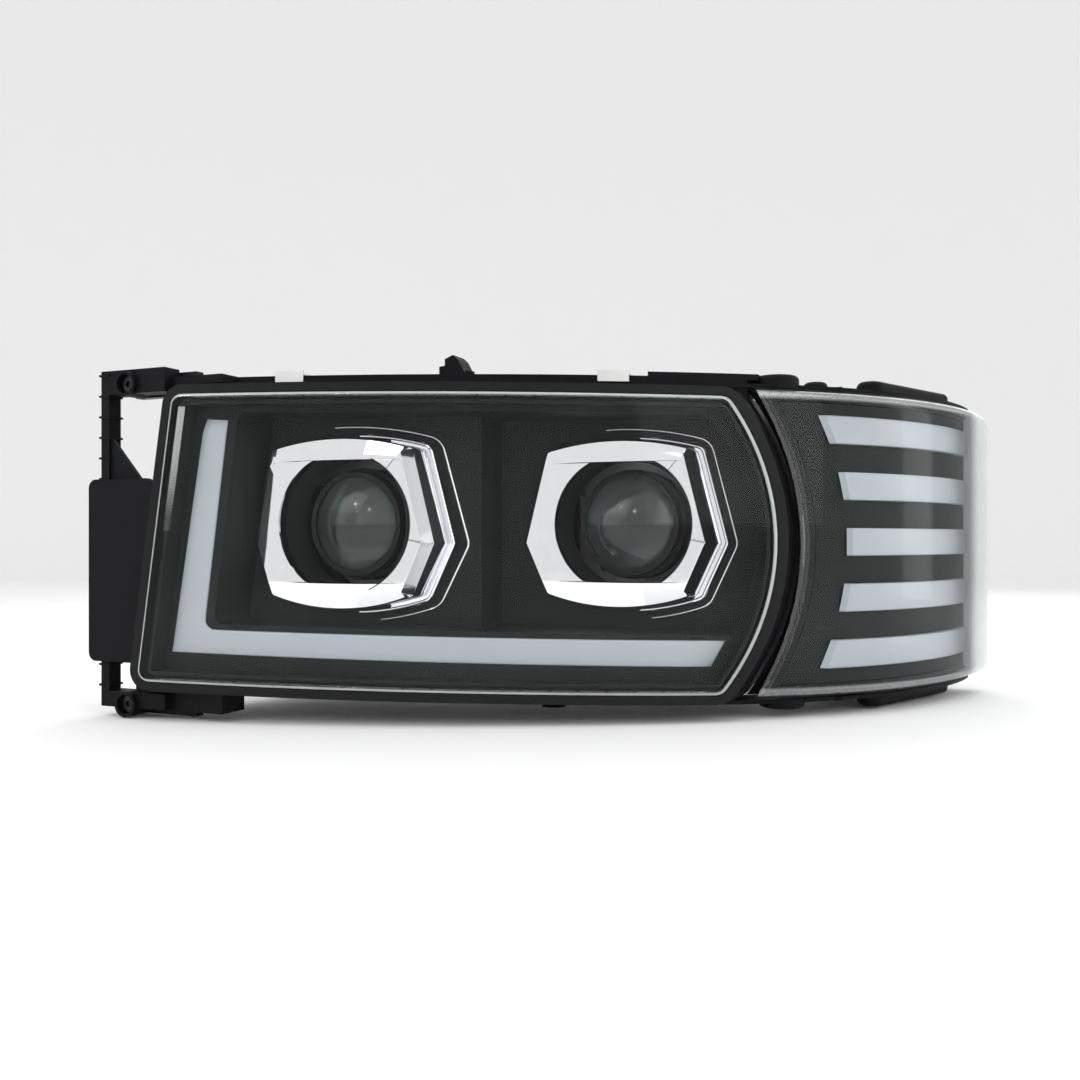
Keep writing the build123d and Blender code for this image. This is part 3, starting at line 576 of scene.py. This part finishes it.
def projectorShroud(place):
    # Rings from the opening outwards: flat face, crease, tilted band, edge strip, wall, groove, bead of the rim,
    # foot on the floor and the inner side.
    s = shroud
    axisX, faceY = lamp["projectors"][place]
    outline = shroudOutline(place)
    normals = outwardNormals(outline)
    rightness = np.clip((normals[:, 0] - s["stripFrom"]) / s["stripOver"], 0, 1)
    rightness = rightness * rightness * (3 - 2 * rightness)
    wide = s["edgeR"] + s["stripWide"] * rightness
    deep = s["edgeR"] + s["stripDeep"] * rightness
    edge = outline - normals * wide[:, None]
    opening = openingPoint(edge)
    crease = creasePoint(edge, opening)

    def lean(flat):
        # The face falls back outboard in one plane.
        return flat[:, 0] * s["lean"][place]

    def band(flat):
        beyond = np.maximum(flat[:, 1] - s["creaseTop"], 0) + np.maximum(s["creaseBottom"] - flat[:, 1], 0)
        return beyond * s["bandTilt"] + lean(flat)

    def ring(flat, depth):
        return np.stack([axisX + flat[:, 0], faceY + depth + np.zeros(len(flat)), lamp["axisZ"] + flat[:, 1]], 1)

    def rim(flat):
        # The rim lies in one plane that falls back towards the outboard side.
        (x0, d0), (x1, d1) = s["rimFrom"], s["rimTo"]
        return d0 + (flat[:, 0] - x0) * (d1 - d0) / (x1 - x0)

    step = s["creaseStep"] * np.clip(1 - (crease[:, 0] / s["creaseHalf"]) ** 2, 0, 1)
    step *= abs(edge[:, 1]) > abs(s["creaseBottom"])
    bandStart = crease + (edge - crease) * 0.05
    rings = [ring(opening, s["skin"] + lean(opening)), ring(opening, lean(opening) + 0.4)]
    for share in (0.01, 0.25, 0.5, 0.75):
        flat = opening + (crease - opening) * share
        rings.append(ring(flat, lean(flat)))
    rings += [ring(crease, lean(crease)), ring(crease, lean(crease) + step),
              ring(bandStart, step * 0.3 + band(bandStart)),
              ring(edge, band(edge)), ring(edge + normals * 0.25, band(edge) + 0.12)]
    stripFoot = band(edge) + deep
    rings += [ring(outline - normals * 0.3, stripFoot), ring(outline, stripFoot + 0.5)]
    wallTop = np.maximum(rim(outline) - s["beadR"], stripFoot + 1.0)
    rings += [ring(outline, wallTop), ring(outline + normals * 0.1, wallTop + s["groove"]),
              ring(outline + normals * (s["flare"] - 2 * s["beadR"]), wallTop + s["groove"])]
    for angle in np.linspace(s["beadFrom"], math.pi, 11):
        out = s["flare"] - s["beadR"] + s["beadR"] * math.sin(angle)
        rings.append(ring(outline + normals * out, wallTop + s["beadR"] * (1 - math.cos(angle))))
    beadFoot = wallTop + 2 * s["beadR"]
    floor = floorDepth(axisX + outline[:, 0]) - faceY
    wallFoot = np.maximum(floor - s["offFloor"], beadFoot + 0.5)
    rings += [ring(outline, beadFoot), ring(outline, wallFoot), ring(outline - normals * s["skin"], wallFoot),
              ring(edge - normals * s["skin"] / 2, stripFoot + s["skin"])]
    points = np.concatenate(rings)
    faces = gridFaces(len(rings), len(outline), wrapRows=True, wrapColumns=True)
    makePiece("projectorShroud" + place.title(), points, faces, "lamp",
              finishes["shroud_chrome"], ["shroud_" + place], s["sharp"])


hoop = {
    "gap": 10, "beadR": 0.75, "sink": 0.35, "steps": 9, "topFrom": -22, "bottomFrom": 14,
    "pocketFoot": (67, -61), "pocketHead": (86.5, 99.5), "clear": 2.5,
}


def floorHoops():
    # A thin half-round bead on the floor round each shroud's outboard side, clear of the pocket's wall.
    h, parts = hoop, []
    (x0, z0), (x1, z1) = h["pocketFoot"], h["pocketHead"]
    for place, (axisX, _) in lamp["projectors"].items():
        flat = shroudOutline(place)
        flat = flat + outwardNormals(flat) * h["gap"]
        normals = outwardNormals(flat)
        flat = flat + np.array([axisX, lamp["axisZ"]])
        start = np.where(flat[:, 1] > lamp["axisZ"], h["topFrom"], h["bottomFrom"]) + axisX
        wall = x0 + (flat[:, 1] - z0) * (x1 - x0) / (z1 - z0) + h["clear"]
        shown = flat[:, 0] > np.maximum(start, wall)
        first = np.flatnonzero(shown & ~np.roll(shown, 1))[0]
        order = np.roll(np.arange(len(flat)), -first)[:int(shown.sum())]
        flat, normals = flat[order], normals[order]
        angles = np.linspace(-h["sink"], math.pi + h["sink"], h["steps"])
        out, lift = h["beadR"] * np.cos(angles), h["beadR"] * np.sin(angles)
        ringX = flat[:, None, 0] + normals[:, None, 0] * out
        ringZ = flat[:, None, 1] + normals[:, None, 1] * out
        grid = np.stack([ringX, floorDepth(ringX) - lift, ringZ], -1)
        faces = gridFaces(len(flat), h["steps"], wrapColumns=True) + endCaps(len(flat), h["steps"])
        parts.append((grid.reshape(-1, 3), faces))
    points, faces = joinParts(parts)
    makePiece("floorHoops", points, faces, "lamp", finishes["shroud_chrome"], ["bezel_trims"])


floorLine = {"seamX": 246, "depth": 62, "outer": ((246, 133.4), (452, 192))}


def floorDepth(x):
    # The bezel's floor lies one depth behind the lens up to the seam, then on a straight line.
    (x0, y0), (x1, y1) = floorLine["outer"]
    straight = y0 + (x - x0) * (y1 - y0) / (x1 - x0)
    curved = frontY(np.minimum(x, floorLine["seamX"])) + floorLine["depth"]
    return np.where(x < floorLine["seamX"], curved, straight)


latheSteps = 96


def latheRings(profile, axisX, faceY):
    # A profile of (radius, depth) turned about the projector's axis.
    turn = np.linspace(0, math.tau, latheSteps, endpoint=False)
    radius, depth = np.asarray(profile, float).T
    x = axisX + radius[:, None] * np.cos(turn)
    z = lamp["axisZ"] + radius[:, None] * np.sin(turn)
    y = faceY + np.repeat(depth[:, None], latheSteps, 1)
    return np.stack([x, y, z], -1).reshape(-1, 3), gridFaces(len(profile), latheSteps, wrapColumns=True)


glass = {"r": 38, "sphereR": 58.6, "recess": 6, "length": 27, "edge": 0.8, "capSteps": 16, "sharp": 40}


def projectorGlass(place):
    # A plano-convex lens: a cap of a sphere, a rounded edge, a cylindrical land and a flat back.
    g = glass
    radii = np.linspace(0, g["r"] - g["edge"], g["capSteps"])
    cap = [(r, g["recess"] + g["sphereR"] - math.sqrt(g["sphereR"] ** 2 - r * r)) for r in radii]
    land = cap[-1][1] + g["edge"]
    end = g["recess"] + g["length"]
    back = [(g["r"], end - g["edge"]), (g["r"] - g["edge"], end), (g["r"] * 0.5, end), (0, end)]
    points, faces = latheRings(cap + [(g["r"], land)] + back, *lamp["projectors"][place])
    makePiece("projectorGlass" + place.title(), points, faces, "carrier",
              finishes["projector_glass"], ["projector_lens_" + place], g["sharp"])


mask = {
    "front": 54.6, "frontDepth": 2.7, "rear": 50.3, "rearDepth": 24, "inward": 0.5, "outward": 0.2,
    "steps": 7, "sharp": 30,
}


def lensMasks():
    # A dark funnel behind each opening, with shallow concentric steps that break up stray light.
    m, parts = mask, []
    for axisX, faceY in lamp["projectors"].values():
        depth = np.linspace(m["frontDepth"], m["rearDepth"], m["steps"] * 2)
        taper = (m["rear"] - m["front"]) / (m["rearDepth"] - m["frontDepth"])
        radius = m["front"] + (depth - m["frontDepth"]) * taper
        stepped = np.repeat(radius[::2], 2) - m["inward"]
        profile = list(zip(stepped, depth)) + list(zip(radius[::-1] + m["outward"], depth[::-1]))
        points, _ = latheRings(profile, axisX, faceY)
        parts.append((points, gridFaces(len(profile), latheSteps, wrapRows=True, wrapColumns=True)))
    points, faces = joinParts(parts)
    makePiece("lensMaskFunnels", points, faces, "lamp", finishes["bezel_black"], ["lens_masks"],
              m["sharp"])


guide = {
    "outer": [(60, 95.1), (33.6, -82.7), (415, -93.4)],
    "inner": [(78.3, 93.8), (59.5, -65), (425, -73.5)],
    "legSteps": 34, "cornerReach": 9, "cornerFill": 2.6, "front": 18, "rear": 26, "edgeR": 1.6, "crown": 0.9,
    "endSlope": 9, "endDrop": 3.2, "shrink": 0.9, "sharp": 38,
}


def lightGuideBar():
    # An L-shaped bar: points slide along its outer and inner edges together, and its section is a crowned slab.
    g = guide
    count, thick, legs = g["legSteps"], g["rear"] - g["front"], []
    for edge in ("outer", "inner"):
        first, elbow, last = (np.array(p, float) for p in g[edge])
        up = first + (elbow - first) * np.linspace(0, 1, count)[:, None]
        along = elbow + (last - elbow) * np.linspace(0, 1, 2 * count)[1:, None]
        legs.append(np.concatenate([up, along]))
    outer, inner = legs
    start, elbow, end = (np.array(p, float) for p in g["inner"])
    near = np.hypot(*(inner - elbow).T)
    pull = np.clip(1 - near / g["cornerReach"], 0, 1)[:, None] ** 2
    bisector = (start - elbow) / np.hypot(*(start - elbow)) + (end - elbow) / np.hypot(*(end - elbow))
    inner = inner + bisector * pull * g["cornerFill"]
    quarter = np.linspace(0, math.pi / 2, 5)
    width = np.hypot(*(inner - outer).T)
    shares, depths = [], []
    r = g["edgeR"]
    across = [r * (1 - math.cos(a)) for a in quarter]
    down = [r * (1 - math.sin(a)) for a in quarter]
    for offset, depth in [(0, thick)] + list(zip(across, down)):
        shares.append(offset / width)
        depths.append(np.full(len(width), depth))
    for share in np.linspace(0.15, 0.85, 7):
        shares.append(np.full(len(width), share))
        depths.append(np.full(len(width), -g["crown"] * math.sin(math.pi * share)))
    for offset, depth in list(zip(across, down))[::-1] + [(0, thick)]:
        shares.append(1 - offset / width)
        depths.append(np.full(len(width), depth))
    share, depth = np.stack(shares, 1)[..., None], np.stack(depths, 1)
    flat = outer[:, None] + (inner - outer)[:, None] * share
    travel = np.concatenate([[0], np.cumsum(np.hypot(*np.diff((outer + inner) / 2, axis=0).T))])
    fromEnd = np.minimum(travel, travel[-1] - travel)[:, None]
    slope = np.clip(1 - fromEnd / g["endSlope"], 0, 1) * g["endDrop"]
    depth = np.minimum(depth + slope, thick)
    x = flat[..., 0]
    grid = np.stack([x, frontY(x) + g["front"] + g["crown"] + depth * g["shrink"], flat[..., 1]], -1)
    faces = gridFaces(*x.shape, wrapColumns=True) + endCaps(*x.shape)
    makePiece("lightGuideBar", grid.reshape(-1, 3), faces, "lamp", finishes["light_guide"],
              ["drl_light_guide"], g["sharp"])


corner = {
    "x": 276, "y": 432, "r": 334, "low": -116, "high": 117, "end": 400, "round": 11, "skin": 3,
    "arcX": 240.4, "leftR": 238, "skirtR": 316, "sideR": 1.5, "wallSteps": 44, "sharp": 50,
    "frostFrom": 1.27, "frostOver": 0.06, "endFrost": 0.72, "rimFrost": 0.30, "rimFrom": 1.2, "innerFrost": 0.5,
}
bars = {
    "out": 317.6, "in": 308, "leftR": 266, "end": 382, "high": 22, "pitch": 44, "middle": 1.5, "count": 5,
    "edgeR": 1.3, "crown": 0.8, "steps": 26, "sharp": 30,
    "facetAt": (0, 0.01, 0.035, 0.99, 1), "facet": (3.2, 2.6, 0, 0, 1.2),
}


def turnAt(x, radius):
    # Turn about the corner lamp's upright axis at which the given radius reaches X.
    return np.arcsin(np.clip((x - corner["x"]) / radius, -1, 1))


def wrapPoint(radius, turn, z):
    # The point at a radius and turn about the corner lamp's upright axis.
    x = corner["x"] + radius * np.sin(turn)
    return np.stack([x, corner["y"] - radius * np.cos(turn), z + 0 * x], -1)


def edgeX(z, radius):
    # The lamp's inboard edge is hollow: X lies on a circle seen from the front.
    return corner["arcX"] + np.sqrt(radius ** 2 - z ** 2)


def cornerLens():
    # A cylinder wall with rounded edges and a skirt that runs in all round, and the same again inside. A point's
    # radius is the smaller of its row's and its column's.
    c = corner

    def sheet(inset):
        out, soft = c["r"] - inset, c["round"] - inset
        quarter = np.linspace(0, math.pi / 2, 7)
        low, high = c["low"] + inset, c["high"] - inset
        fall = out - soft + soft * np.sin(quarter)
        rise = soft * (1 - np.cos(quarter))
        rowR = np.concatenate([[c["skirtR"]], fall, np.full(13, out), fall[::-1], [c["skirtR"]]])
        rowZ = np.concatenate([[low], low + rise, np.linspace(low + soft, high - soft, 15)[1:-1],
                               (high - rise)[::-1], [high]])
        side = np.concatenate([[c["skirtR"], out - 2 * c["sideR"]],
                               out - c["sideR"] + c["sideR"] * np.sin(quarter[1:])])
        colR = np.concatenate([side, np.full(c["wallSteps"], np.inf), side[::-1]])
        radius = np.minimum(rowR[:, None], colR[None, :])
        z = np.repeat(rowZ[:, None], len(colR), 1)
        share = np.concatenate([np.zeros(len(side)), np.linspace(0, 1, c["wallSteps"]), np.ones(len(side))])
        start = turnAt(edgeX(z, c["leftR"] + inset), radius)
        end = np.arccos(np.clip((c["y"] - c["end"] + inset) / radius, -1, 1))
        turn = start + (end - start) * share
        past = np.clip((turn - c["frostFrom"]) / c["frostOver"], 0, 1)
        frost = np.maximum(past * c["endFrost"], (radius < out - c["rimFrom"]) * c["rimFrost"])
        return wrapPoint(radius, turn, z), frost

    (outer, outerFrost), (inner, innerFrost) = sheet(0), sheet(c["skin"])
    rows, columns = outer.shape[:2]
    faces = gridFaces(rows, columns)
    count = rows * columns
    edge = list(range(columns)) + [i * columns + columns - 1 for i in range(1, rows)]
    edge += [(rows - 1) * columns + j for j in range(columns - 2, -1, -1)]
    edge += [i * columns for i in range(rows - 2, 0, -1)]
    joins = [[a, b, b + count, a + count] for a, b in zip(edge, edge[1:] + edge[:1])]
    inside = [[point + count for point in face[::-1]] for face in faces]
    points = np.concatenate([outer.reshape(-1, 3), inner.reshape(-1, 3)])
    frost = np.concatenate([outerFrost.ravel(), innerFrost.ravel() * c["innerFrost"]])
    makePiece("cornerLensShell", points, faces + inside + joins, "lamp", finishes["clear_lens"],
              ["corner_lens"], c["sharp"], frost)


def cornerBars():
    # Milky bars: a rounded slab section carried round the upright axis, with a sloped facet at the inboard end.
    b, parts = bars, []
    r, half = b["edgeR"], b["high"] / 2
    quarter = np.linspace(0, math.pi / 2, 5)
    sideZ = half - r + r * np.sin(quarter)
    sideR = b["out"] - r + r * np.cos(quarter)
    sectionZ = np.concatenate([[-half], -sideZ[::-1], np.linspace(-half + r, half - r, 7)[1:-1], sideZ, [half]])
    sectionR = np.concatenate([[b["in"]], sideR[::-1], np.full(5, b["out"]), sideR, [b["in"]]])
    crown = b["crown"] * np.cos(sectionZ / half * math.pi / 2)
    first, last = b["facetAt"][2:4]
    along = np.concatenate([b["facetAt"][:2], np.linspace(first, last, b["steps"]), [1]])[:, None]
    facet = np.interp(along, b["facetAt"], b["facet"])
    for index in range(b["count"]):
        z = b["middle"] + b["pitch"] * (index - (b["count"] - 1) / 2) + sectionZ
        radius = np.maximum(sectionR + np.where(sectionR > b["in"], crown, 0) - facet, b["in"])
        start = turnAt(edgeX(z, b["leftR"]), radius)
        end = np.arccos((corner["y"] - b["end"]) / radius)
        grid = wrapPoint(radius, start + (end - start) * along, z + 0 * radius)
        faces = gridFaces(*radius.shape, wrapColumns=True) + endCaps(*radius.shape)
        parts.append((grid.reshape(-1, 3), faces))
    points, faces = joinParts(parts)
    makePiece("cornerLightBars", points, faces, "lamp", finishes["light_guide"],
              ["corner_light_bars"], b["sharp"])


ridges = {
    "radii": (225.5, 228.5, 232, 235.5), "wrapR": 312.2, "wire": 0.55, "high": 108, "rows": 70, "sides": 6,
    "frost": 0.12,
}


def flangeRidges():
    # Fine ridges along the corner lamp's inboard flange: round wires that follow circles in front view, laid on
    # the flange's cylinder.
    r, parts = ridges, []
    z = np.linspace(-r["high"], r["high"], r["rows"])
    turn = np.linspace(0, math.tau, r["sides"], endpoint=False)
    across, rise = r["wire"] * np.cos(turn), r["wire"] * np.sin(turn)
    for radius in r["radii"]:
        rowX = edgeX(z, radius)[:, None] + across
        rowY = corner["y"] - np.sqrt((r["wrapR"] + rise) ** 2 - (rowX - corner["x"]) ** 2)
        grid = np.stack([rowX, rowY, np.repeat(z[:, None], r["sides"], 1)], -1)
        faces = gridFaces(r["rows"], r["sides"], wrapColumns=True) + endCaps(r["rows"], r["sides"])
        parts.append((grid.reshape(-1, 3), faces))
    points, faces = joinParts(parts)
    makePiece("flangeRidges", points, faces, "lamp", finishes["clear_lens"],
              frost=np.full(len(points), r["frost"]))


mainLens()
lensFlutes()
flangeRidges()
for place in lamp["projectors"]:
    projectorShroud(place)
    projectorGlass(place)
lensMasks()
floorHoops()
lightGuideBar()
cornerLens()
cornerBars()
print("optics made")

softened = {
    "mounting_frame": 0.5, "locating_horn": 0.5, "frame_screws": 0.3, "main_housing": 0.6, "inner_bezel": 0.4,
    "lens_clips": 0.25, "corner_housing": 0.5, "corner_bezel": 0.4,
    "corner_side_reflector": 0.5, "corner_socket": 0.5, "leveller_motor": 0.5, "yaw_adjuster_case": 0.5,
    "connector_socket": 0.4, "breather_vents": 0.5, "driver_module": 0.5, "module_screws": 0.3,
    "leveller_rod": 0.3, "yaw_rod": 0.3, "rear_cap_inner": 0.7, "rear_cap_outer": 0.7,
    "lens_retainer_inner": 0.4, "lens_retainer_outer": 0.4,
}
for node, bevel in softened.items():
    words = node.split("_")
    name = words[0] + "".join(word.title() for word in words[1:]) + "Moulding"
    softenNode(name, node, finishes[slotOf[node]], bevel)
print("mouldings rounded:", len(softened))


ribs = {
    "half": 1.2, "crestHalf": 0.8, "foot": 194.0, "crest": 203.5, "steps": 12,
    "upperX": (118, 137, 156, 175, 194, 309, 328, 347, 366, 385), "upperZ": (79, 97),
    "lowerX": (172, 190, 309, 328, 347, 366, 385), "lowerZ": (-77, -49),
    "level": [((100, 98), (238, 98)), ((264, 98), (400, 98)), ((300, -78), (400, -78))],
    "pads": [(92, -12), (233, 44), (272, 44)], "padR": 6.5, "padCrest": 200.0, "padEdge": 0.5, "padSteps": 32,
}


def wallPoints(flat, depth):
    # Points of a front view outline, moved back from the lens's arc.
    return np.stack([flat[:, 0], frontY(flat[:, 0]) + depth, flat[:, 1]], 1)


def housingRibs():
    # Stiffening ribs and round pads on the housing's rear wall, which runs parallel to the lens's arc. Each rib
    # narrows towards its crest.
    r, parts = ribs, []
    section = ((-r["half"], r["foot"]), (-r["crestHalf"], r["crest"]), (r["crestHalf"], r["crest"]),
               (r["half"], r["foot"]))
    runs = [[(x, z) for z in r[row + "Z"]] for row in ("upper", "lower") for x in r[row + "X"]]
    for first, last in np.array(runs + r["level"], float):
        way = (last - first) / np.hypot(*(last - first))
        side = np.array([-way[1], way[0]])
        middle = np.linspace(first, last, r["steps"])
        points = np.stack([wallPoints(middle + side * out, depth) for out, depth in section], 1)
        parts.append((points.reshape(-1, 3), gridFaces(r["steps"], 4, wrapColumns=True) + endCaps(r["steps"], 4)))
    turn = np.linspace(0, math.tau, r["padSteps"], endpoint=False)
    circle = np.stack([np.cos(turn), np.sin(turn)], 1)
    rings = [(r["padR"], r["foot"]), (r["padR"], r["padCrest"] - r["padEdge"]),
             (r["padR"] - r["padEdge"], r["padCrest"])]
    for centre in r["pads"]:
        points = np.concatenate([wallPoints(centre + radius * circle, depth) for radius, depth in rings])
        parts.append((points, gridFaces(3, r["padSteps"], wrapColumns=True) + endCaps(3, r["padSteps"])))
    points, faces = joinParts(parts)
    makePiece("housingRibs", points, faces, "lamp", finishes["housing_plastic"])


housingRibs()
print("ribs made")


# ---- floor, light and camera

studio = {
    "centre": (0.28, 0.16), "floorR": 3.2, "wallR": 4.0, "wallHigh": 3.0, "drop": 0.0008, "steps": 96, "air": 0.85,
    "aim": (0.28, 0.12, 0.0),
}


def studioBowl():
    # A pale floor that curves up into a round wall: radius and height follow a quarter circle, then rise straight.
    # Its foot lies just under the lowest node.
    low = min(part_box(node)[0].z for node in nodes)
    turn = np.linspace(0, math.tau, studio["steps"], endpoint=False)
    quarter = np.linspace(0, math.pi / 2, 12)
    curve = studio["wallR"] - studio["floorR"]
    radius = np.concatenate([[0.01, 1.0, 2.0], studio["floorR"] + curve * np.sin(quarter), [studio["wallR"]]])
    height = np.concatenate([[0, 0, 0], curve * (1 - np.cos(quarter)), [studio["wallHigh"]]])
    (middleX, middleY), foot = studio["centre"], low - studio["drop"]
    x, y = radius[:, None] * np.cos(turn) + middleX, radius[:, None] * np.sin(turn) + middleY
    grid = np.stack([x, y, height[:, None] + foot + 0 * x], -1)
    mesh = bpy.data.meshes.new("studioBowl")
    middle = list(range(studio["steps"]))
    faces = gridFaces(len(radius), studio["steps"], wrapColumns=True) + [middle]
    mesh.from_pydata(grid.reshape(-1, 3).tolist(), [], faces)
    mesh.polygons.foreach_set("use_smooth", np.ones(len(mesh.polygons), bool))
    board = Board("studioPaper", Specular_IOR_Level=0.1)
    board.shader.inputs["Base Color"].default_value = (0.93, 0.93, 0.93, 1)
    board.shader.inputs["Roughness"].default_value = 0.9
    mesh.materials.append(board.material)
    addObject("studioBowl", mesh)


lights = {
    "keyPanel": {"at": (-0.9, -1.6, 1.2), "size": (1.6, 1.2), "power": 9},
    "sidePanel": {"at": (1.9, -0.8, 0.7), "size": (1.2, 1.4), "power": 5},
    "topPanel": {"at": (0.3, 0.2, 1.9), "size": (2.4, 1.8), "power": 14},
    "rearPanel": {"at": (0.1, 1.9, 1.0), "size": (1.8, 1.2), "power": 7},
    "sparkHigh": {"at": (-0.55, -1.5, 0.95), "size": (0.10, 0.10), "power": 0.9},
    "sparkLow": {"at": (0.25, -1.7, 0.75), "size": (0.08, 0.08), "power": 0.6},
    "cornerStrip": {"at": (2.06, 0.86, 0.25), "size": (0.42, 1.5), "power": 4},
}


def addLights():
    # Soft panels that all face the object, two small ones for sparkle, and even white air.
    for name, plan in lights.items():
        panel = bpy.data.lights.new(name, "AREA")
        panel.shape = "RECTANGLE"
        panel.size, panel.size_y = plan["size"]
        panel.energy = plan["power"]
        holder = addObject(name, panel)
        holder.location = plan["at"]
        way = Vector(np.array(studio["aim"]) - np.array(plan["at"]))
        holder.rotation_euler = way.to_track_quat("-Z", "Y").to_euler()
    world = bpy.data.worlds.new("studioAir")
    world.use_nodes = True
    air = world.node_tree.nodes["Background"].inputs
    air["Color"].default_value = (1, 1, 1, 1)
    air["Strength"].default_value = studio["air"]
    bpy.context.scene.world = world


view = {
    "target": (0.312, 0.055, 0.003), "azimuth": 23.0, "elevation": 0.0, "distance": 0.760,
    "lens": 35.19, "sensor": 36,
}


def addCamera():
    # The camera stands back from the target along its azimuth and elevation.
    a, e = math.radians(view["azimuth"]), math.radians(view["elevation"])
    back = Vector((math.sin(a) * math.cos(e), -math.cos(a) * math.cos(e), math.sin(e)))
    seen = bpy.data.cameras.new("studioCamera")
    seen.lens, seen.sensor_width = view["lens"], view["sensor"]
    holder = addObject("studioCamera", seen)
    holder.location = Vector(view["target"]) + back * view["distance"]
    holder.rotation_euler = (-back).to_track_quat("-Z", "Y").to_euler()
    bpy.context.scene.camera = holder


studioBowl()
addLights()
addCamera()
bpy.context.scene.view_settings.view_transform = "Standard"
print("studio set")
